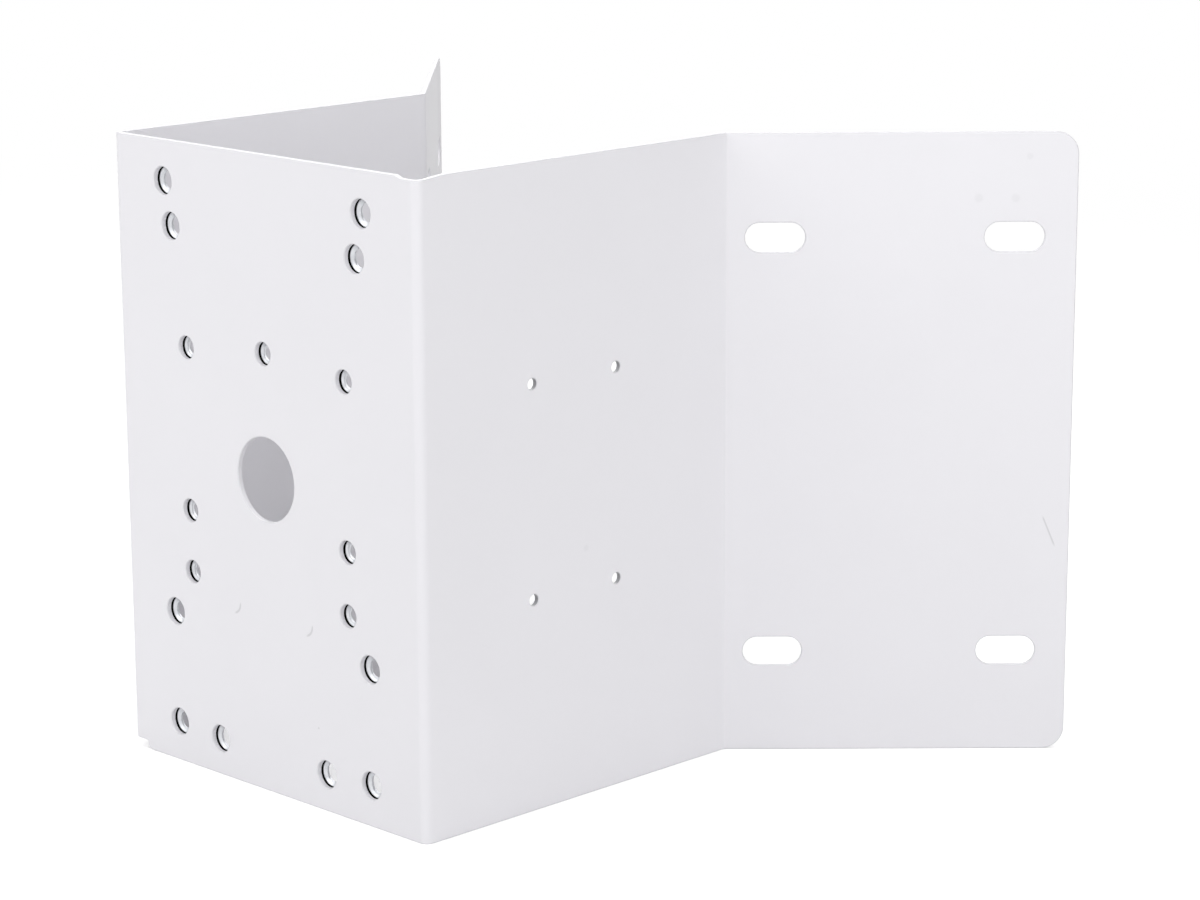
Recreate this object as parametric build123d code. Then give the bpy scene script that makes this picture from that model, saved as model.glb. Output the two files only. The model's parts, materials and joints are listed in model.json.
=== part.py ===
from build123d import *
import math
import os

# Corner bracket for a wall camera: one sheet of steel folded four times, with
# press nuts on the back of its front plate. Sizes are in millimetres and degrees.
# The origin is the centre of the cable hole in the front surface of the front plate,
# which faces -Y. +Z is up, and apart from the fold reliefs and the pilot holes the
# bracket is alike on both sides of X = 0.

# Sheet and folds
sheet_thickness = 1.5
inner_bend_radius = 1.0
flange_fold_angle = 45.0

# Main sizes, over the outside of the sheet
bracket_height = 170.0
front_width = 120.0
side_depth = 110.0
flange_length = 93.0
flange_corner_radius = 6.0

# Relief at the upper end of the right side fold: a shallow dip in the edge.
# Distances run from the outer corner of the fold along each wall.
upper_relief_depth = 0.7
upper_relief_front_start = 7.9
upper_relief_front_floor = 5.9
upper_relief_side_start = 9.5
upper_relief_side_floor = 2.5
upper_relief_radius = 1.2

# Relief at the lower end of the left side fold: a deeper notch with a rounded lip
lower_relief_depth = 2.3
lower_relief_reach = 6.2
lower_relief_lip_radius = 1.7
lower_relief_root_radius = 0.5

# Slots in the flanges for the screws into the building
slot_length = 16.0
slot_width = 8.0
slot_to_fold = 13.0
slot_to_free_end = 16.5
slot_to_edge = 28.0

# Round hole for the camera's cable, in the middle of the front plate
cable_hole_diameter = 22.5

# Press nuts, large (M6) and small (M5): the bore is the thread's minor diameter,
# the hole margin is from the bore to the sheet's hole, the seat is the flat ring
# that bears on the back of the sheet.
large_thread_bore = 5.0
large_hole_margin = 1.2
large_seat_width = 1.3
small_thread_bore = 4.2
small_hole_margin = 1.0
small_seat_width = 1.0
nut_height = 2.3
nut_groove_depth = 0.45
nut_groove_width = 0.5

# Places of the large nuts: spacing across each pair, and its distance from an edge
# or its height over the cable hole
top_pair_spacing = 78.5
top_pair_to_edge = 11.0
second_pair_spacing = 73.0
second_pair_to_edge = 22.7
low_pair_spacing = 79.0
low_pair_height = -43.0
bottom_pair_spacing = 78.5
bottom_pair_to_edge = 11.0
bottom_inner_pair_spacing = 43.5
bottom_inner_pair_to_edge = 10.0

# Places of the small nuts about the cable hole
small_square_spacing = 63.0
small_square_height = 30.5
small_low_pair_spacing = 63.5
small_low_pair_height = -13.7
single_nut_height = 33.2

# Pilot holes in the right side wall
pilot_diameter = 3.0
pilot_first_depth = 38.4
pilot_depth_pitch = 30.0
pilot_height_pitch = 56.6

# Derived sizes
half_width = front_width / 2
half_height = bracket_height / 2
outer_bend_radius = inner_bend_radius + sheet_thickness
cut_margin = sheet_thickness / 3

# Planes on the front surface of the sheet, each with its origin at mid-height,
# its first axis along the wall and its second axis up
turn = math.radians(flange_fold_angle)
front_plane = Plane(origin=(0, 0, 0), x_dir=(1, 0, 0), z_dir=(0, -1, 0))
side_plane = Plane(origin=(half_width, 0, 0), x_dir=(0, 1, 0), z_dir=(1, 0, 0))
flange_plane = Plane(
    origin=(half_width, side_depth, 0),
    x_dir=(math.sin(turn), math.cos(turn), 0),
    z_dir=(math.cos(turn), -math.sin(turn), 0),
)


def pair(spacing, height):
    """Two places either side of the middle of the front plate."""
    return [(-spacing / 2, height), (spacing / 2, height)]


large_nut_places = (
    pair(top_pair_spacing, half_height - top_pair_to_edge)
    + pair(second_pair_spacing, half_height - second_pair_to_edge)
    + pair(low_pair_spacing, low_pair_height)
    + pair(bottom_pair_spacing, bottom_pair_to_edge - half_height)
    + pair(bottom_inner_pair_spacing, bottom_inner_pair_to_edge - half_height)
)
small_nut_places = (
    pair(small_square_spacing, small_square_height)
    + pair(small_square_spacing, -small_square_height)
    + pair(small_low_pair_spacing, small_low_pair_height)
    + [(0, single_nut_height)]
)
pilot_places = [
    (pilot_first_depth + column * pilot_depth_pitch, row * pilot_height_pitch / 2)
    for column in (0, 1)
    for row in (-1, 1)
]
slot_places = [
    (along, row * (half_height - slot_to_edge))
    for along in (slot_to_fold, flange_length - slot_to_free_end)
    for row in (-1, 1)
]


def folded_sheet():
    """The sheet's outer line seen from above, thickened inwards and drawn out to height."""
    right_end = flange_plane.from_local_coords(Vector(flange_length, 0, 0))
    corners = [
        (-right_end.X, right_end.Y),
        (-half_width, side_depth),
        (-half_width, 0),
        (half_width, 0),
        (half_width, side_depth),
        (right_end.X, right_end.Y),
    ]
    radii = [inner_bend_radius, outer_bend_radius, outer_bend_radius, inner_bend_radius]
    outer_line = FilletPolyline(*corners, radius=radii)
    section = make_face(offset(outer_line, sheet_thickness, side=Side.LEFT, closed=True))
    return extrude(section, half_height, both=True)


def round_flange_corners(sheet):
    """The free corners of both flanges, rounded in the plane of the sheet."""
    ends = sheet.faces().sort_by(Axis.X)
    across = (ends[0].edges() + ends[-1].edges()).filter_by(Axis.Z, reverse=True)
    return fillet(across, flange_corner_radius)


def through(outline, plane):
    """A cutter through the sheet, from an outline drawn on a plane of its front surface."""
    drawn = plane.offset(cut_margin) * outline
    return extrude(drawn, sheet_thickness + 2 * cut_margin, dir=-plane.z_dir)


def round_holes(places, diameter, plane):
    """Cutters for equal round holes."""
    return through(Sketch() + [Pos(*place) * Circle(diameter / 2) for place in places], plane)


def flange_slots():
    """Cutters for the right flange's slots, which lie along the flange."""
    outline = Sketch() + [Pos(*place) * SlotOverall(slot_length, slot_width) for place in slot_places]
    return through(outline, flange_plane)


def relief_profile(start, floor, depth, lip_radius, root_radius):
    """Outline of a relief in an edge: from the edge at start down to the floor.

    The first axis is the distance from the fold's outer corner and the second is
    the height over the edge; the outline stays open past the corner and the edge.
    """
    beyond = start + outer_bend_radius
    points = [
        (beyond, 0),
        (start, 0),
        (floor, -depth),
        (-outer_bend_radius, -depth),
        (-outer_bend_radius, outer_bend_radius),
        (beyond, outer_bend_radius),
    ]
    radii = [0, lip_radius, root_radius, 0, 0, 0]
    return make_face(FilletPolyline(*points, radius=radii, close=True))


def fold_relief(front_outline, side_outline):
    """Cutter for a relief at the upper end of the right side fold."""
    corner = Vector(half_width, 0, half_height)
    on_front = Plane(origin=corner, x_dir=(-1, 0, 0), z_dir=(0, 1, 0))
    on_side = Plane(origin=corner, x_dir=(0, 1, 0), z_dir=(1, 0, 0))
    front_cut = extrude(on_front * front_outline, outer_bend_radius, dir=(0, 1, 0))
    side_cut = extrude(on_side * side_outline, outer_bend_radius, dir=(-1, 0, 0))
    return front_cut + side_cut


def upper_relief():
    """The shallow dip at the upper end of the right side fold."""
    ends = [
        (upper_relief_front_start, upper_relief_front_floor),
        (upper_relief_side_start, upper_relief_side_floor),
    ]
    outlines = [
        relief_profile(start, floor, upper_relief_depth, upper_relief_radius, upper_relief_radius)
        for start, floor in ends
    ]
    return fold_relief(*outlines)


def lower_relief():
    """The notch at the lower end of the left side fold."""
    outline = relief_profile(
        lower_relief_reach,
        lower_relief_reach,
        lower_relief_depth,
        lower_relief_lip_radius,
        lower_relief_root_radius,
    )
    at_upper_right = fold_relief(outline, outline)
    return mirror(mirror(at_upper_right, about=Plane.YZ), about=Plane.XY)


def folded_bracket():
    """The whole folded sheet with its corners, reliefs and holes."""
    sheet = round_flange_corners(folded_sheet())
    sheet -= upper_relief()
    sheet -= lower_relief()
    slots = flange_slots()
    sheet -= slots
    sheet -= mirror(slots, about=Plane.YZ)
    sheet -= round_holes(large_nut_places, large_thread_bore + 2 * large_hole_margin, front_plane)
    sheet -= round_holes(small_nut_places, small_thread_bore + 2 * small_hole_margin, front_plane)
    sheet -= round_holes([(0, 0)], cable_hole_diameter, front_plane)
    sheet -= round_holes(pilot_places, pilot_diameter, side_plane)
    return sheet


def press_nut(thread_bore, hole_margin, seat_width):
    """One nut by revolving its half section about +Y, with its seat at Y = 0.

    Inside the seat, a groove runs under the rim of the sheet's hole. Its floor
    is the nut's flat mouth, and the bore runs on to the back.
    """
    bore_radius = thread_bore / 2
    groove_radius = bore_radius + hole_margin + nut_groove_width
    body_radius = groove_radius + seat_width
    half_section = Polyline(
        (bore_radius, nut_groove_depth),
        (groove_radius, nut_groove_depth),
        (groove_radius, 0),
        (body_radius, 0),
        (body_radius, nut_height),
        (bore_radius, nut_height),
        close=True,
    )
    return revolve(make_face(half_section), Axis.Y)


def nuts_on_sheet(nut, places):
    """Copies of a nut seated on the back of the front plate, one at each place."""
    return Compound([Pos(x, sheet_thickness, up) * nut for x, up in places])


large_nut = press_nut(large_thread_bore, large_hole_margin, large_seat_width)
small_nut = press_nut(small_thread_bore, small_hole_margin, small_seat_width)
nodes = {
    "folded_bracket": folded_bracket(),
    "large_press_nuts": nuts_on_sheet(large_nut, large_nut_places),
    "small_press_nuts": nuts_on_sheet(small_nut, small_nut_places),
}

os.makedirs("parts", exist_ok=True)
for name, shape in nodes.items():
    export_step(shape, f"parts/{name}.step")
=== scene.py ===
import json
import math

import bmesh
import bpy
import numpy as np
from bpy.props import FloatProperty, FloatVectorProperty, IntProperty, PointerProperty
from mathutils import Matrix, Vector


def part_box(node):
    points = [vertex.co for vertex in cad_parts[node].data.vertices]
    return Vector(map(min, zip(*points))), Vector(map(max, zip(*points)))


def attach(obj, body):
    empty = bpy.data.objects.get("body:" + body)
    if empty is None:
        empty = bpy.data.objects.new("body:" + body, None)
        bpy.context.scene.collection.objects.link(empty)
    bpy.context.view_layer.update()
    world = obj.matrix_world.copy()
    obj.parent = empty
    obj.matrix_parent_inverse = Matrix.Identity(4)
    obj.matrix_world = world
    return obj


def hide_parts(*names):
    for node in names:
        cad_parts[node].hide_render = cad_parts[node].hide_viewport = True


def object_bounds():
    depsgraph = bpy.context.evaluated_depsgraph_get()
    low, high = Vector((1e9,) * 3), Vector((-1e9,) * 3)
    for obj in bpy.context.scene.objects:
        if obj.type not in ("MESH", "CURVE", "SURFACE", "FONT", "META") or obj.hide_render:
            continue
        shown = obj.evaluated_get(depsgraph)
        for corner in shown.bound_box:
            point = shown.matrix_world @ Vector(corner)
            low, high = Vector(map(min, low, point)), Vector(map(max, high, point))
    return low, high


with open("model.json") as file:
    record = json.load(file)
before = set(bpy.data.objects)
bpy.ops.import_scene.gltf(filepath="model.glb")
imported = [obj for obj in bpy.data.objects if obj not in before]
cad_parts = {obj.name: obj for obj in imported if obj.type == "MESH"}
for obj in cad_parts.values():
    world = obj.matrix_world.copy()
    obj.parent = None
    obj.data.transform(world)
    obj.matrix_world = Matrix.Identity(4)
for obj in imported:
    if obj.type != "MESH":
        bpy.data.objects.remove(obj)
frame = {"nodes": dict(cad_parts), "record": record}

bl_info = {
    "name": "Corner Mount Bracket",
    "version": (1, 0, 0),
    "blender": (4, 5, 0),
    "location": "3D View > Sidebar > Bracket",
    "description": "Dresses the packed corner bracket: painted sheet, threaded press nuts and a studio",
    "category": "Object",
}

MM = 0.001
CAD_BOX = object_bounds()
MOUNTS = {mount["name"]: mount for mount in frame["record"]["mounts"]}

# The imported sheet's mesh: points closer than WELD are one, faces that turn by less than
# FLAT are one flat face, and edges that turn by more than CREASE get the coat's rounding
WELD = 1e-3 * MM
FLAT = math.radians(0.5)
CREASE = math.radians(40)

# Planes are told apart by these parts of one in the normal and of a millimetre in the place
NORMAL_PARTS = 100
PLACE_PARTS = 10

# The sheet's own skin: the least area, in squares of the height, and the least height
LARGE_SHARE = 0.1
TALL_SHARE = 0.95

# Nuts: rows of points along one pitch, the turn at which shading breaks, and the shift of
# the marks from one nut to the next
ROWS_PER_PITCH = 20
NUT_CREASE = math.radians(35)
NUT_SHIFT = 7 * MM

# Round marks on the paint, as rows of x, y, z, radius and soft edge
PINHOLES = np.array([(19, 0, -63, 0.15, 0.2)]) * MM
SMUDGES = np.array([
    (107.2, 157.2, 67.4, 0.7, 0.8),
    (114.1, 164.1, 67.4, 0.7, 0.8),
    (116.6, 166.6, 78.5, 0.5, 0.7),
    (60, 57.2, -18, 0.5, 0.7),
]) * MM
# Painted shade: a near-black spot at the top end of the left flange's upper slot, where its
# downward-facing arc lies in shade
SLOT_END_SHADE = np.array([(-112.5, 164, 59.9, 1.0, 0.4)]) * MM

# Rings pressed into the paint, by their centres, with the way that the side painted dark as shade lies
RING_CENTRES = np.array([(-14.3, 0, -35.8), (14.8, 0, -36.3)]) * MM
RING_RADIUS = 2.5 * MM
RING_DIRECTION = (0.8, 0, -0.6)

# A scratch from end to end, and its width
SCRATCH_ENDS = np.array([(120.7, 170.7, -19.6), (123, 173, -27.5)]) * MM
SCRATCH_WIDTH = 0.2 * MM

# How far the drill chipped the paint round a pilot hole
CHIPPED_RIM = 0.1 * MM

# Where the lamps stand, in metres from the bracket's origin
LAMP_PLACES = {
    "front": (-0.3, -0.65, 0.55),
    "right": (1.35, -0.65, 0.3),
    "side": (1.0, -0.1, 0.9),
    "top": (0.1, 0.1, 1.2),
    "back": (-0.9, 0.7, 0.9),
}

# How far out the floor starts to fade into the white room and is gone, in metres
FADE_START = 0.3
FADE_END = 1.2

# The camera: its place, its turn to the left, dip and lean in degrees, and its sensor in mm
CAMERA_PLACE = Vector((677.4, -554.1, 210.1)) * MM
CAMERA_ANGLES = (45.04, 13.09, 0.22)
SENSOR_WIDTH = 36.0


# Colours

def linear(hex_colour):
    """An sRGB hex colour as three linear values."""
    parts = [int(hex_colour[i:i + 2], 16) / 255 for i in (1, 3, 5)]
    return tuple(c / 12.92 if c <= 0.04045 else ((c + 0.055) / 1.055) ** 2.4 for c in parts)


# Settings that a user would change

class SheetSettings(bpy.types.PropertyGroup):
    """The paint on the folded sheet and what it does to the cut edges."""
    paint: FloatVectorProperty(
        name="Paint", description="Colour of the powder coat", subtype="COLOR",
        size=3, min=0, max=1, default=linear("#F3F2F6"))
    paint_shade: FloatVectorProperty(
        name="Paint shade", description="Colour of the coat where it cured a little thinner",
        subtype="COLOR", size=3, min=0, max=1, default=linear("#F0EFF3"))
    paint_edge: FloatVectorProperty(
        name="Paint on edges", description="Colour of the thin coat on the cut edges",
        subtype="COLOR", size=3, min=0, max=1, default=linear("#E6E5E9"))
    edge_rounding: FloatProperty(
        name="Edge rounding", description="Radius that the coat gives the cut edges",
        unit="LENGTH", precision=5, min=0, default=0.3 * MM)
    edge_steps: IntProperty(
        name="Edge steps", description="Faces across a rounded edge", min=1, max=6, default=3)
    peel_size: FloatProperty(
        name="Peel size", description="Distance between the waves that the melted powder left",
        unit="LENGTH", precision=5, min=0, default=1.3 * MM)
    peel_height: FloatProperty(
        name="Peel height", description="Height of those waves",
        unit="LENGTH", precision=6, min=0, default=0.016 * MM)


class LargeNutSettings(bpy.types.PropertyGroup):
    """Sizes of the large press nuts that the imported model's plain bores leave out."""
    thread_diameter: FloatProperty(
        name="Thread diameter", description="Major diameter of the thread",
        unit="LENGTH", precision=5, min=0, default=6.0 * MM)
    pitch: FloatProperty(
        name="Pitch", description="Distance from one turn to the next",
        unit="LENGTH", precision=5, min=0, default=1.0 * MM)
    hole_margin: FloatProperty(
        name="Hole margin", description="From the thread's crest to the sheet's hole",
        unit="LENGTH", precision=5, min=0, default=1.2 * MM)


class SmallNutSettings(bpy.types.PropertyGroup):
    """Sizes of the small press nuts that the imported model's plain bores leave out."""
    thread_diameter: FloatProperty(
        name="Thread diameter", description="Major diameter of the thread",
        unit="LENGTH", precision=5, min=0, default=5.0 * MM)
    pitch: FloatProperty(
        name="Pitch", description="Distance from one turn to the next",
        unit="LENGTH", precision=5, min=0, default=0.8 * MM)
    hole_margin: FloatProperty(
        name="Hole margin", description="From the thread's crest to the sheet's hole",
        unit="LENGTH", precision=5, min=0, default=1.0 * MM)


class NutFinishSettings(bpy.types.PropertyGroup):
    """What all press nuts share: their plating and their turned details."""
    zinc: FloatVectorProperty(
        name="Zinc", description="Colour of the bright zinc plate", subtype="COLOR",
        size=3, min=0, max=1, default=linear("#D5D6D9"))
    zinc_shade: FloatVectorProperty(
        name="Zinc shade", description="Colour of the plate where it has dulled",
        subtype="COLOR", size=3, min=0, max=1, default=linear("#BEC0C4"))
    groove_depth: FloatProperty(
        name="Groove depth", description="How far the mouth stands below the sheet's back",
        unit="LENGTH", precision=5, min=0, default=0.45 * MM)
    groove_width: FloatProperty(
        name="Groove width", description="How far the groove runs under the hole's rim",
        unit="LENGTH", precision=5, min=0, default=0.5 * MM)
    mouth_step: FloatProperty(
        name="Mouth step", description="From the hole's rim in to the mouth's edge",
        unit="LENGTH", precision=5, min=0, default=0.03 * MM)
    mouth_land: FloatProperty(
        name="Mouth land", description="Width of the flat ring round the countersink",
        unit="LENGTH", precision=5, min=0, default=0.2 * MM)
    mouth_drop: FloatProperty(
        name="Mouth drop", description="Depth of the countersunk mouth",
        unit="LENGTH", precision=5, min=0, default=0.75 * MM)
    groove_drop: FloatProperty(
        name="Groove drop", description="Depth of the groove's floor below the mouth",
        unit="LENGTH", precision=5, min=0, default=0.3 * MM)
    # Painted shade: the near-black colour given to the groove under the hole's rim, standing in for the
    # shade that falls there
    groove_shade_colour: FloatVectorProperty(
        name="Crevice", description="Colour of the oily dirt in the groove", subtype="COLOR",
        size=3, min=0, max=1, default=linear("#1C1C1D"))
    rim_rounding: FloatProperty(
        name="Rim rounding", description="Radius of the nut's rims at its back",
        unit="LENGTH", precision=5, min=0, default=0.25 * MM)
    turns_round: IntProperty(
        name="Turns round", description="Faces round a nut", min=24, max=128, default=72)
    tool_mark: FloatProperty(
        name="Tool mark", description="Distance between the marks of the turning tool",
        unit="LENGTH", precision=5, min=0, default=0.22 * MM)


class StudioSettings(bpy.types.PropertyGroup):
    """Floor, light and camera."""
    floor_colour: FloatVectorProperty(
        name="Floor", description="Colour of the floor as it is seen", subtype="COLOR",
        size=3, min=0, max=1, default=linear("#FCFCFC"))
    floor_bounce: FloatVectorProperty(
        name="Floor bounce", description="Colour of the light that the floor throws back",
        subtype="COLOR", size=3, min=0, max=1, default=linear("#CFCFCF"))
    floor_glow: FloatProperty(
        name="Floor glow", description="White added to the floor as it is seen",
        min=0, max=1, default=0.27)
    floor_reach: FloatProperty(
        name="Floor reach", description="Half the floor's side", unit="LENGTH", min=0.5, default=8.0)
    front_power: FloatProperty(
        name="Front power", description="Power of the lamp at the front, a little to the left",
        min=0, default=4.6)
    right_power: FloatProperty(
        name="Right power", description="Power of the lamp on the right, a little to the front",
        min=0, default=6.5)
    side_power: FloatProperty(
        name="Side power", description="Power of the lamp high over the right flange", min=0, default=4.5)
    top_power: FloatProperty(
        name="Top power", description="Power of the lamp overhead", min=0, default=4.6)
    back_power: FloatProperty(
        name="Back power", description="Power of the lamp behind, high on the left", min=0, default=6.0)
    lamp_size: FloatProperty(
        name="Lamp size", description="Side of each square lamp", unit="LENGTH", min=0.1, default=0.8)
    room_light: FloatProperty(
        name="Room light", description="Strength of the even light of the room", min=0, default=0.2)
    lens: FloatProperty(
        name="Lens", description="Focal length of the camera in millimetres", min=20, default=103.83)


# Meshes

def add_mesh(name, points, faces):
    """A new object at the origin from arrays of points and of four-cornered faces, shaded smooth."""
    mesh = bpy.data.meshes.new(name)
    mesh.from_pydata(points, [], faces.tolist())
    mesh.shade_smooth()
    piece = bpy.data.objects.new(name, mesh)
    bpy.context.scene.collection.objects.link(piece)
    return piece


def rounded_copy(name, node, radius, steps):
    """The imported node's shape as one welded skin with its sharp edges rounded.

    Flat faces are made whole again first, and only edges that turn by more than a
    fold's own facets do are rounded, so the folds keep their shape.
    """
    skin = bmesh.new()
    skin.from_mesh(frame["nodes"][node].data)
    bmesh.ops.remove_doubles(skin, verts=skin.verts, dist=WELD)
    bmesh.ops.dissolve_limit(skin, angle_limit=FLAT, verts=skin.verts, edges=skin.edges)
    sharp = [edge for edge in skin.edges if edge.calc_face_angle(0) > CREASE]
    bmesh.ops.bevel(
        skin, geom=sharp, offset=radius, offset_type="OFFSET", affect="EDGES",
        segments=steps, profile=0.5, clamp_overlap=False)
    mesh = bpy.data.meshes.new(name)
    skin.to_mesh(mesh)
    skin.free()
    piece = bpy.data.objects.new(name, mesh)
    bpy.context.scene.collection.objects.link(piece)
    return piece


def plane_areas(mesh):
    """For each face, its normal, and the area of all faces that lie in its plane."""
    count = len(mesh.polygons)
    normals, centres, areas = np.empty(count * 3), np.empty(count * 3), np.empty(count)
    mesh.polygons.foreach_get("normal", normals)
    mesh.polygons.foreach_get("center", centres)
    mesh.polygons.foreach_get("area", areas)
    normals, centres = normals.reshape(-1, 3), centres.reshape(-1, 3)
    offset = np.sum(normals * centres, axis=1) / MM
    planes = np.round(np.column_stack([normals * NORMAL_PARTS, offset * PLACE_PARTS]))
    plane_of = np.unique(planes, axis=0, return_inverse=True)[1].ravel()
    return normals, np.bincount(plane_of, areas)[plane_of]


def shade_by_planes(mesh):
    """Smooth shading that leaves flat surfaces flat.

    Faces in one plane count as one surface. A point's normal is the mean of its
    faces' normals, each weighted by the cube of its whole surface's area, so that a
    plate's edge takes the plate's normal and a fold or rounded edge blends into it.
    """
    mesh.shade_smooth()
    normals, plane_area = plane_areas(mesh)
    weight = plane_area ** 3
    corners = np.empty(len(mesh.loops), dtype=np.int64)
    mesh.loops.foreach_get("vertex_index", corners)
    sizes = np.empty(len(normals), dtype=np.int64)
    mesh.polygons.foreach_get("loop_total", sizes)
    face_of = np.repeat(np.arange(len(normals)), sizes)
    blended = np.zeros((len(mesh.vertices), 3))
    np.add.at(blended, corners, (normals * weight[:, None])[face_of])
    blended /= np.linalg.norm(blended, axis=1, keepdims=True)
    mesh.normals_split_custom_set_from_vertices(blended)


def mark_cut_edges(mesh, height):
    """Write the attribute "cut_edge", which is 1 on the faces that the cutter left.

    The sheet's own skin is every surface that is large, and every facet of a fold,
    which runs nearly the whole height; all other faces were cut.
    """
    large = plane_areas(mesh)[1] > LARGE_SHARE * height ** 2
    levels = np.array([vertex.co.z for vertex in mesh.vertices])
    spans = np.array([np.ptp(levels[list(face.vertices)]) for face in mesh.polygons])
    tall = spans > TALL_SHARE * height
    attribute = mesh.attributes.new("cut_edge", "FLOAT", "FACE")
    attribute.data.foreach_set("value", np.where(large | tall, 0.0, 1.0))


def bolt_places(*names):
    """Centres of the named hole patterns in the front plate, as rows of x and z."""
    places = []
    for name in names:
        mount = MOUNTS[name]
        x, _, z = mount["pos_m"]
        half_x = mount["dims"].get("spacing_x_mm", 0) / 2 * MM
        half_z = mount["dims"].get("spacing_y_mm", 0) / 2 * MM
        rows = sorted({z - half_z, z + half_z})
        columns = sorted({x - half_x, x + half_x})
        places += [(column, row) for row in rows for column in columns]
    return np.array(places)


def arc(centre, radius, start, end, count=5):
    """Points of a circular arc about centre, from start to end in degrees."""
    angle = np.radians(np.linspace(start, end, count))
    return np.stack([centre[0] + radius * np.cos(angle), centre[1] + radius * np.sin(angle)], axis=1)


def thread_radius(turn, depth, pitch, minor, major):
    """Radius of a right-handed inner thread.

    Over one pitch the radius is the crest for a quarter, falls over a flank of five
    sixteenths to the root, holds for an eighth and comes back over the other flank.
    The place in the pitch is depth over pitch, less the turn over a full circle.
    """
    place = np.mod(depth / pitch - turn / (2 * np.pi), 1.0)
    return np.interp(place, [0, 0.25, 0.5625, 0.6875, 1], [minor, minor, major, major, minor])


def press_nut_surface(size, finish, minor, body_radius, height):
    """Grid of one nut's points about +Y with its seat at 0, as turn by profile by x, y, z.

    The profile starts on the mouth's land, goes round groove, seat, wall and back, and
    comes forward along the bore. There the radius is the largest of the thread, the
    countersink, which narrows with depth, and the lead at the back, which widens.
    The second array is 1 at the points that line the groove, which is painted dark as shade, and 0
    elsewhere.
    """
    hole_radius = minor + size.hole_margin
    mouth_radius = hole_radius - finish.mouth_step
    land_radius = mouth_radius - finish.mouth_land
    groove_radius = hole_radius + finish.groove_width
    groove_floor = finish.groove_depth + finish.groove_drop
    major = size.thread_diameter / 2
    edge = finish.rim_rounding
    outside = np.concatenate([
        [(land_radius, finish.groove_depth), (mouth_radius, finish.groove_depth)],
        [(mouth_radius, groove_floor), (groove_radius, groove_floor)],
        [(groove_radius, 0), (body_radius - edge / 2, 0), (body_radius, edge / 2)],
        arc((body_radius - edge, height - edge), edge, 0, 90),
        arc((major + 2 * edge, height - edge), edge, 90, 135, 3),
    ])
    turn = np.linspace(0, 2 * np.pi, finish.turns_round, endpoint=False)
    rows = int(ROWS_PER_PITCH * (height - finish.groove_depth) / size.pitch)
    depth = np.linspace(outside[-1, 1], finish.groove_depth, rows + 1)[1:-1]
    turns, depths = np.meshgrid(turn, depth, indexing="ij")
    thread = thread_radius(turns, depths, size.pitch, minor, major)
    fall = (land_radius - minor) / finish.mouth_drop
    countersink = land_radius - (depths - finish.groove_depth) * fall
    lead = outside[-1, 0] - (outside[-1, 1] - depths)
    bore = np.maximum(np.maximum(thread, countersink), lead)
    radius = np.concatenate([np.tile(outside[:, 0], (len(turn), 1)), bore], axis=1)
    level = np.concatenate([np.tile(outside[:, 1], (len(turn), 1)), depths], axis=1)
    angle = turn[:, None]
    in_groove = slice(2, 5)
    # Painted shade: these groove points are the ones coloured near-black
    dirt = np.zeros(level.shape)
    dirt[:, in_groove] = 1.0
    return np.stack([radius * np.sin(angle), level, radius * np.cos(angle)], axis=2), dirt


def closed_grid_faces(across, along):
    """Faces of a grid that closes on itself both ways, as rows of four corners."""
    first = np.arange(across)[:, None]
    second = np.arange(along)[None, :]
    here = first * along + second
    beside = np.roll(here, -1, axis=0)
    corners = [here, beside, np.roll(beside, -1, axis=1), np.roll(here, -1, axis=1)]
    return np.stack(corners, axis=2).reshape(-1, 4)


def threaded_nuts(name, node, size, finish, places):
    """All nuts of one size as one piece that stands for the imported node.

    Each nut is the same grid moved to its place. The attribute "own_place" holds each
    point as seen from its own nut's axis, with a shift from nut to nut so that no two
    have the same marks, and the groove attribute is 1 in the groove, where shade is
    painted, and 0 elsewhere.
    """
    low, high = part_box(node)
    minor = MOUNTS[places[0]]["dims"]["hole_r_mm"] * MM
    centres = bolt_places(*places)
    body_radius = high.x - centres[:, 0].max()
    surface, dirt = press_nut_surface(size, finish, minor, body_radius, high.y - low.y)
    across, along = surface.shape[:2]
    local = surface.reshape(-1, 3)
    shift = np.stack([centres[:, 0], np.full(len(centres), low.y), centres[:, 1]], axis=1)
    points = (local[None] + shift[:, None]).reshape(-1, 3)
    faces = closed_grid_faces(across, along)
    copies = np.arange(len(centres))[:, None, None] * len(local)
    piece = add_mesh(name, points, (faces[None] + copies).reshape(-1, 4))
    own = np.tile(local, (len(centres), 1))
    own[:, 1] += np.repeat(np.arange(len(centres)), len(local)) * NUT_SHIFT
    attribute = piece.data.attributes.new("own_place", "FLOAT_VECTOR", "POINT")
    attribute.data.foreach_set("vector", own.ravel())
    attribute = piece.data.attributes.new("dirt", "FLOAT", "POINT")
    attribute.data.foreach_set("value", np.tile(dirt.ravel(), len(centres)))
    piece.data.set_sharp_from_angle(angle=NUT_CREASE)
    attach(piece, "root")
    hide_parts(node)
    return piece


# Materials

def add_node(tree, kind, settings=None, **inputs):
    """One node with its settings; an input is a value, or an output to link to it."""
    node = tree.nodes.new(kind)
    for name, value in (settings or {}).items():
        setattr(node, name, value)
    for name, value in inputs.items():
        key = int(name[1:]) if name[0] == "i" and name[1:].isdigit() else name.replace("_", " ")
        if isinstance(value, bpy.types.NodeSocket):
            tree.links.new(value, node.inputs[key])
        else:
            node.inputs[key].default_value = value
    return node


def new_material(name):
    """A new material without any nodes, and its tree to fill."""
    material = bpy.data.materials.new(name)
    material.use_nodes = True
    material.node_tree.nodes.clear()
    return material, material.node_tree


def rgba(colour):
    """A colour with full cover, as the shader's sockets take it."""
    return (*colour, 1.0)


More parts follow.
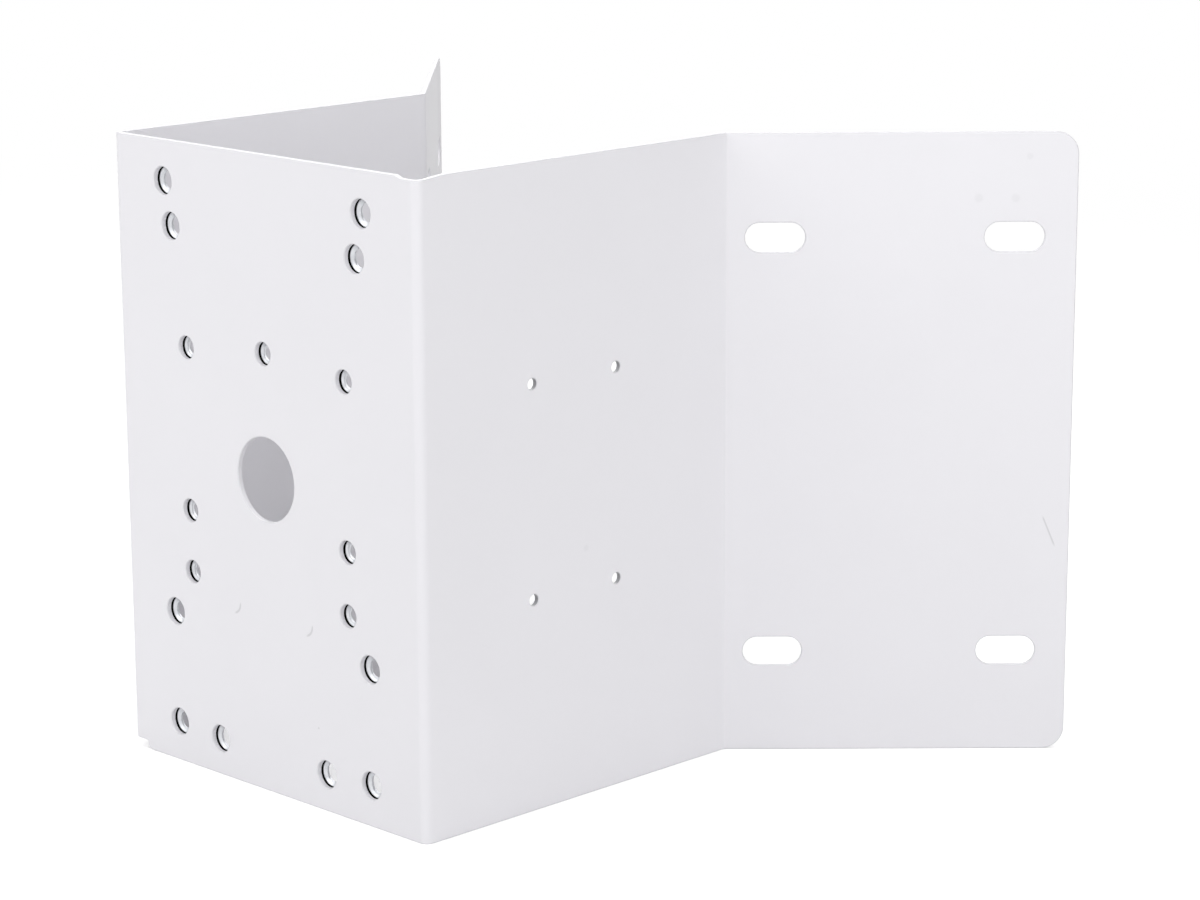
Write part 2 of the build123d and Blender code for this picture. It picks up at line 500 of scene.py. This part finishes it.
def band(tree, value, middle, half_width, soft):
    """1 where value is within half_width of middle, fading to 0 over soft."""
    away = add_node(tree, "ShaderNodeMath", {"operation": "SUBTRACT"}, i0=value, i1=middle)
    size = add_node(tree, "ShaderNodeMath", {"operation": "ABSOLUTE"}, i0=away.outputs[0])
    return add_node(
        tree, "ShaderNodeMapRange", {"interpolation_type": "SMOOTHSTEP"}, Value=size.outputs[0],
        From_Min=half_width, From_Max=half_width + soft, To_Min=1.0, To_Max=0.0).outputs[0]


def times(tree, first, second):
    """Product of two values."""
    return add_node(tree, "ShaderNodeMath", {"operation": "MULTIPLY"}, i0=first, i1=second).outputs[0]


def largest(tree, values):
    """The largest of several values."""
    result = values[0]
    for value in values[1:]:
        node = add_node(tree, "ShaderNodeMath", {"operation": "MAXIMUM"}, i0=result, i1=value)
        result = node.outputs[0]
    return result


def pressed_ring_shade(tree, place, centre, radius):
    """A faint ring pressed into the front round centre, drawn only as painted shade on its lower right
    side.
    """
    half_width, soft, depth_reach = 0.15 * MM, 0.3 * MM, 0.2 * MM
    lean_start, lean_full = 0.6 * radius, 0.85 * radius
    offset = add_node(tree, "ShaderNodeVectorMath", {"operation": "SUBTRACT"}, i0=place, i1=centre)
    distance = add_node(tree, "ShaderNodeVectorMath", {"operation": "LENGTH"}, i0=offset.outputs[0])
    ring = band(tree, distance.outputs["Value"], radius, half_width, soft)
    lean = add_node(
        tree, "ShaderNodeVectorMath", {"operation": "DOT_PRODUCT"},
        i0=offset.outputs[0], i1=RING_DIRECTION)
    side = add_node(
        tree, "ShaderNodeMapRange", {"interpolation_type": "SMOOTHSTEP"}, Value=lean.outputs["Value"],
        From_Min=lean_start, From_Max=lean_full)
    depth = add_node(tree, "ShaderNodeSeparateXYZ", i0=offset.outputs[0]).outputs["Y"]
    on_front = band(tree, depth, 0.0, depth_reach, soft)
    return times(tree, times(tree, ring, side.outputs[0]), on_front)


def streak(tree, place, start, end, width):
    """A thin straight mark from start to end, fading out towards both ends."""
    start, end = Vector(start), Vector(end)
    middle, direction = (start + end) / 2, (end - start).normalized()
    half_length, fade = 0.4 * (end - start).length, 1.5 * MM
    offset = add_node(tree, "ShaderNodeVectorMath", {"operation": "SUBTRACT"}, i0=place, i1=middle)
    along = add_node(
        tree, "ShaderNodeVectorMath", {"operation": "DOT_PRODUCT"}, i0=offset.outputs[0], i1=direction)
    across = add_node(
        tree, "ShaderNodeVectorMath", {"operation": "CROSS_PRODUCT"}, i0=offset.outputs[0], i1=direction)
    aside = add_node(tree, "ShaderNodeVectorMath", {"operation": "LENGTH"}, i0=across.outputs[0])
    long_way = band(tree, along.outputs["Value"], 0.0, half_length, fade)
    short_way = band(tree, aside.outputs["Value"], 0.0, width / 2, width)
    return times(tree, long_way, short_way)


def spot(tree, place, centre, radius, soft):
    """A round mark, full out to radius and gone over soft."""
    distance = add_node(tree, "ShaderNodeVectorMath", {"operation": "DISTANCE"}, i0=place, i1=centre)
    return band(tree, distance.outputs["Value"], 0.0, radius, soft)


def spots(tree, place, rows):
    """Round marks from rows of x, y, z, radius and soft edge."""
    return [spot(tree, place, row[:3], row[3], row[4]) for row in rows.tolist()]


def drilled_holes(tree, place):
    """The walls of the pilot holes, with the chipped rims of the paint round them."""
    mount = MOUNTS["side_pilot_holes"]
    x, y, z = mount["pos_m"]
    size = mount["dims"]
    half_y = size["spacing_x_mm"] / 2 * MM
    half_z = size["spacing_y_mm"] / 2 * MM
    sheet_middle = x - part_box("large_press_nuts")[0].y / 2
    reach = size["hole_r_mm"] * MM + CHIPPED_RIM
    return [
        spot(tree, place, (sheet_middle, y + column * half_y, z + row * half_z), reach, CHIPPED_RIM)
        for column in (-1, 1) for row in (-1, 1)]


def powder_coated_steel(settings):
    """White polyester powder coat, sprayed dry and melted on the folded steel.

    It looks satin white, a touch cool, with shallow soft waves where the powder ran
    together, a finer grain over them, and a few handling marks. Two pressed rings are
    drawn only as painted shade on their lower right sides, and the top end of one slot
    is painted near-black as shade. The pilot holes were drilled through it, so their
    walls are dull bare steel. The grain of the real powder is finer than a tenth of a
    millimetre and is drawn as coarse as it shows.
    """
    cloud_size, grain_size = 45 * MM, 0.35 * MM
    grain_height = settings.peel_height / 6
    glossy, satin = 0.36, 0.46
    mark_cover, smudge_cover = 0.42, 0.15
    material, tree = new_material("powder_coated_steel")
    place = add_node(tree, "ShaderNodeTexCoord").outputs["Object"]
    clouds = add_node(
        tree, "ShaderNodeTexNoise", Vector=place, Scale=1 / cloud_size, Detail=3.0, Roughness=0.5)
    coat = add_node(
        tree, "ShaderNodeMix", {"data_type": "RGBA"}, Factor=clouds.outputs["Fac"],
        i6=rgba(settings.paint), i7=rgba(settings.paint_shade))
    edge = add_node(tree, "ShaderNodeAttribute", {"attribute_name": "cut_edge"}).outputs["Fac"]
    coat = add_node(
        tree, "ShaderNodeMix", {"data_type": "RGBA"}, Factor=edge, i6=coat.outputs[2],
        i7=rgba(settings.paint_edge))
    # Painted shade: each pressed ring shows only as a darker crescent on its lower right side
    rings = [pressed_ring_shade(tree, place, centre, RING_RADIUS) for centre in RING_CENTRES.tolist()]
    pinholes = spots(tree, place, PINHOLES)
    scratch = streak(tree, place, *SCRATCH_ENDS.tolist(), SCRATCH_WIDTH)
    marks = largest(tree, [*rings, *pinholes, scratch])
    smudges = largest(tree, spots(tree, place, SMUDGES))
    slot_end_shade = largest(tree, spots(tree, place, SLOT_END_SHADE))
    # Colours over the coat: real pinhole and scratch marks together with the rings' painted shade,
    # smudges, bare steel in the pilot holes, and the slot end's painted shade
    layers = [
        (times(tree, marks, mark_cover), "#B9B9BC"),
        (times(tree, smudges, smudge_cover), "#CFCFD2"),
        (largest(tree, drilled_holes(tree, place)), "#B0B0B3"),
        (slot_end_shade, "#222224"),
    ]
    for cover, colour in layers:
        coat = add_node(
            tree, "ShaderNodeMix", {"data_type": "RGBA"}, Factor=cover, i6=coat.outputs[2],
            i7=rgba(linear(colour)))
    peel = add_node(
        tree, "ShaderNodeTexNoise", Vector=place, Scale=1 / settings.peel_size, Detail=2.0, Roughness=0.45)
    grain = add_node(
        tree, "ShaderNodeTexNoise", Vector=place, Scale=1 / grain_size, Detail=1.0, Roughness=0.5)
    waves = add_node(
        tree, "ShaderNodeBump", Height=peel.outputs["Fac"], Distance=settings.peel_height, Strength=1.0)
    surface = add_node(
        tree, "ShaderNodeBump", Height=grain.outputs["Fac"], Normal=waves.outputs[0],
        Distance=grain_height, Strength=1.0)
    gloss = add_node(
        tree, "ShaderNodeMapRange", Value=clouds.outputs["Fac"], From_Min=0.3, From_Max=0.7,
        To_Min=glossy, To_Max=satin)
    shader = add_node(
        tree, "ShaderNodeBsdfPrincipled", Base_Color=coat.outputs[2], Roughness=gloss.outputs[0],
        IOR=1.5, Normal=surface.outputs[0])
    add_node(tree, "ShaderNodeOutputMaterial", Surface=shader.outputs[0])
    return material


def bright_zinc_plate(settings):
    """Bright zinc plate on steel nuts turned from bar.

    It looks pale silver with fine rings left by the turning tool and patches where
    the plate has dulled. The groove at the mouth is painted nearly black as shade,
    for the shadow under the sheet's rim. The wave texture makes 20 waves over 2 pi
    at a scale of 1. The real marks lie closer than the settings' tool mark, which is
    as coarse as it needs to be to show.
    """
    patch_size, mark_height = 2.5 * MM, 0.006 * MM
    bright, dull = 0.38, 0.55
    wave_length = 2 * math.pi / 20
    material, tree = new_material("bright_zinc_plate")
    place = add_node(tree, "ShaderNodeAttribute", {"attribute_name": "own_place"}).outputs["Vector"]
    patches = add_node(
        tree, "ShaderNodeTexNoise", Vector=place, Scale=1 / patch_size, Detail=4.0, Roughness=0.6)
    colour = add_node(
        tree, "ShaderNodeMix", {"data_type": "RGBA"}, Factor=patches.outputs["Fac"],
        i6=rgba(settings.zinc), i7=rgba(settings.zinc_shade))
    # Painted shade: the groove under the hole's rim is coloured near-black for the shade that falls there
    dirt = add_node(tree, "ShaderNodeAttribute", {"attribute_name": "dirt"}).outputs["Fac"]
    groove_shaded = add_node(
        tree, "ShaderNodeMix", {"data_type": "RGBA"}, Factor=dirt,
        i6=colour.outputs[2], i7=rgba(settings.groove_shade_colour))
    rings = add_node(
        tree, "ShaderNodeTexWave", {"wave_type": "RINGS", "rings_direction": "Y"}, Vector=place,
        Scale=wave_length / settings.tool_mark, Distortion=1.5, Detail=2.0)
    surface = add_node(
        tree, "ShaderNodeBump", Height=rings.outputs["Fac"], Distance=mark_height, Strength=1.0)
    gloss = add_node(
        tree, "ShaderNodeMapRange", Value=patches.outputs["Fac"], From_Min=0.3, From_Max=0.7,
        To_Min=bright, To_Max=dull)
    shader = add_node(
        tree, "ShaderNodeBsdfPrincipled", Base_Color=groove_shaded.outputs[2], Metallic=1.0,
        Roughness=gloss.outputs[0], Normal=surface.outputs[0])
    add_node(tree, "ShaderNodeOutputMaterial", Surface=shader.outputs[0])
    return material


def seen_directly(tree):
    """1 for rays that show a thing to the eye, straight or by a reflection, and 0 for its light."""
    path = add_node(tree, "ShaderNodeLightPath")
    names = ("Is Camera Ray", "Is Glossy Ray", "Is Transmission Ray")
    return largest(tree, [path.outputs[name] for name in names])


def white_board(settings):
    """Matt white board that takes the bracket's shadow.

    It looks plain white up to the shadow's soft edge and fades into the white room
    further out, and throws a little less light back up at the bracket than it shows.
    Its fibres are far finer than drawn, as only coarse ones show at this distance.
    """
    fibre_size, fibre_height = 4 * MM, 0.02 * MM
    material, tree = new_material("white_board")
    place = add_node(tree, "ShaderNodeTexCoord").outputs["Object"]
    fibre = add_node(tree, "ShaderNodeTexNoise", Vector=place, Scale=1 / fibre_size, Detail=2.0)
    surface = add_node(tree, "ShaderNodeBump", Height=fibre.outputs["Fac"], Distance=fibre_height)
    seen = seen_directly(tree)
    colour = add_node(
        tree, "ShaderNodeMix", {"data_type": "RGBA"}, Factor=seen,
        i6=rgba(settings.floor_bounce), i7=rgba(settings.floor_colour))
    matt = add_node(
        tree, "ShaderNodeBsdfDiffuse", Color=colour.outputs[2], Normal=surface.outputs[0])
    distance = add_node(tree, "ShaderNodeVectorMath", {"operation": "LENGTH"}, i0=place)
    fade = add_node(
        tree, "ShaderNodeMapRange", {"interpolation_type": "SMOOTHSTEP"},
        Value=distance.outputs["Value"], From_Min=FADE_START, From_Max=FADE_END)
    glow = add_node(
        tree, "ShaderNodeEmission", Color=(1, 1, 1, 1), Strength=times(tree, seen, settings.floor_glow))
    board = add_node(tree, "ShaderNodeAddShader", i0=matt.outputs[0], i1=glow.outputs[0])
    white = add_node(tree, "ShaderNodeEmission", Color=(1, 1, 1, 1), Strength=1.0)
    both = add_node(
        tree, "ShaderNodeMixShader", i0=times(tree, seen, fade.outputs[0]), i1=board.outputs[0],
        i2=white.outputs[0])
    add_node(tree, "ShaderNodeOutputMaterial", Surface=both.outputs[0])
    return material


# Operators

class BRACKET_OT_paint_sheet(bpy.types.Operator):
    """Round the cut edges of the folded sheet and powder-coat it"""
    bl_idname = "corner_bracket.paint_sheet"
    bl_label = "Paint the folded sheet"

    def execute(self, context):
        settings = context.scene.bracket_sheet
        piece = rounded_copy(
            "painted_bracket", "folded_bracket", settings.edge_rounding, settings.edge_steps)
        shade_by_planes(piece.data)
        mark_cut_edges(piece.data, CAD_BOX[1].z - CAD_BOX[0].z)
        piece.data.materials.append(powder_coated_steel(settings))
        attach(piece, "root")
        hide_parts("folded_bracket")
        return {"FINISHED"}


class BRACKET_OT_thread_nuts(bpy.types.Operator):
    """Make the press nuts of both sizes with their grooves and threads"""
    bl_idname = "corner_bracket.thread_nuts"
    bl_label = "Thread the press nuts"

    def execute(self, context):
        scene = context.scene
        finish = scene.bracket_nuts
        material = bright_zinc_plate(finish)
        large_patterns = [name for name in MOUNTS if name.startswith("large_nuts")]
        small_patterns = [name for name in MOUNTS if name.startswith("small_nut")]
        large = threaded_nuts(
            "large_threaded_nuts", "large_press_nuts", scene.bracket_large_nut, finish, large_patterns)
        small = threaded_nuts(
            "small_threaded_nuts", "small_press_nuts", scene.bracket_small_nut, finish, small_patterns)
        for piece in (large, small):
            piece.data.materials.append(material)
        return {"FINISHED"}


def add_floor(settings):
    """A large flat floor under the bracket's lowest edge."""
    reach, level = settings.floor_reach, CAD_BOX[0].z
    signs = ((-1, -1), (1, -1), (1, 1), (-1, 1))
    corners = np.array([(x * reach, y * reach, level) for x, y in signs])
    floor = add_mesh("floor", corners, np.array([(0, 1, 2, 3)]))
    floor.data.materials.append(white_board(settings))


def add_room_light(settings):
    """Even light from all round; the camera and reflections see it as plain white."""
    world = bpy.data.worlds.new("white_room")
    bpy.context.scene.world = world
    world.use_nodes = True
    tree = world.node_tree
    tree.nodes.clear()
    strength = add_node(
        tree, "ShaderNodeMapRange", Value=seen_directly(tree), To_Min=settings.room_light, To_Max=1.0)
    light = add_node(tree, "ShaderNodeBackground", Color=(1, 1, 1, 1), Strength=strength.outputs[0])
    add_node(tree, "ShaderNodeOutputWorld", Surface=light.outputs[0])


def add_lamp(name, place, target, size, power):
    """A large soft square lamp at place that faces target."""
    lamp = bpy.data.lights.new(name, "AREA")
    lamp.shape = "SQUARE"
    lamp.size = size
    lamp.energy = power
    stand = bpy.data.objects.new(name, lamp)
    stand.location = place
    stand.rotation_euler = (Vector(target) - Vector(place)).to_track_quat("-Z", "Y").to_euler()
    bpy.context.scene.collection.objects.link(stand)


def add_camera(settings):
    """The camera, at the right of the front plate and a little over it, turned to the left."""
    yaw, pitch, roll = (math.radians(angle) for angle in CAMERA_ANGLES)
    aim = Vector((-math.sin(yaw) * math.cos(pitch), math.cos(yaw) * math.cos(pitch), -math.sin(pitch)))
    right = Vector((math.cos(yaw), math.sin(yaw), 0))
    down = aim.cross(right)
    leaned_right = math.cos(roll) * right + math.sin(roll) * down
    leaned_down = math.cos(roll) * down - math.sin(roll) * right
    lens = bpy.data.cameras.new("camera")
    lens.sensor_width = SENSOR_WIDTH
    lens.lens = settings.lens
    camera = bpy.data.objects.new("camera", lens)
    turned = Matrix((leaned_right, -leaned_down, -aim)).transposed()
    camera.matrix_world = Matrix.Translation(CAMERA_PLACE) @ turned.to_4x4()
    bpy.context.scene.collection.objects.link(camera)
    bpy.context.scene.camera = camera


class BRACKET_OT_set_stage(bpy.types.Operator):
    """Lay the pale floor and set the soft light and the camera"""
    bl_idname = "corner_bracket.set_stage"
    bl_label = "Set the stage"

    def execute(self, context):
        settings = context.scene.bracket_studio
        add_floor(settings)
        add_room_light(settings)
        middle = (CAD_BOX[0] + CAD_BOX[1]) / 2
        for side, place in LAMP_PLACES.items():
            power = getattr(settings, f"{side}_power")
            add_lamp(f"{side}_lamp", place, middle, settings.lamp_size, power)
        add_camera(settings)
        context.scene.view_settings.view_transform = "Standard"
        return {"FINISHED"}


class BRACKET_PT_panel(bpy.types.Panel):
    """Sizes, colours and steps of the corner bracket"""
    bl_idname = "VIEW3D_PT_corner_bracket"
    bl_label = "Corner bracket"
    bl_space_type = "VIEW_3D"
    bl_region_type = "UI"
    bl_category = "Bracket"

    def draw(self, context):
        for title, name, steps in PANEL_ROWS:
            box = self.layout.box()
            box.label(text=title)
            settings = getattr(context.scene, name)
            for prop in settings.__annotations__:
                box.prop(settings, prop)
            for step in steps:
                box.operator(step)


SETTINGS = {
    "bracket_sheet": SheetSettings,
    "bracket_large_nut": LargeNutSettings,
    "bracket_small_nut": SmallNutSettings,
    "bracket_nuts": NutFinishSettings,
    "bracket_studio": StudioSettings,
}
STEPS = (BRACKET_OT_paint_sheet, BRACKET_OT_thread_nuts, BRACKET_OT_set_stage)
PANEL_ROWS = (
    ("Folded sheet", "bracket_sheet", [BRACKET_OT_paint_sheet.bl_idname]),
    ("Large nuts", "bracket_large_nut", []),
    ("Small nuts", "bracket_small_nut", []),
    ("All nuts", "bracket_nuts", [BRACKET_OT_thread_nuts.bl_idname]),
    ("Studio", "bracket_studio", [BRACKET_OT_set_stage.bl_idname]),
)


def register():
    """Register settings, steps and panel, and give each scene the settings."""
    for kind in (*SETTINGS.values(), *STEPS, BRACKET_PT_panel):
        bpy.utils.register_class(kind)
    for name, kind in SETTINGS.items():
        setattr(bpy.types.Scene, name, PointerProperty(type=kind))


def unregister():
    """Take the settings, steps and panel away again."""
    for name in SETTINGS:
        delattr(bpy.types.Scene, name)
    for kind in reversed((*SETTINGS.values(), *STEPS, BRACKET_PT_panel)):
        bpy.utils.unregister_class(kind)


def main():
    """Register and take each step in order."""
    register()
    bpy.ops.corner_bracket.paint_sheet()
    bpy.ops.corner_bracket.thread_nuts()
    bpy.ops.corner_bracket.set_stage()
    bpy.context.view_layer.update()


if __name__ == "__main__":
    main()
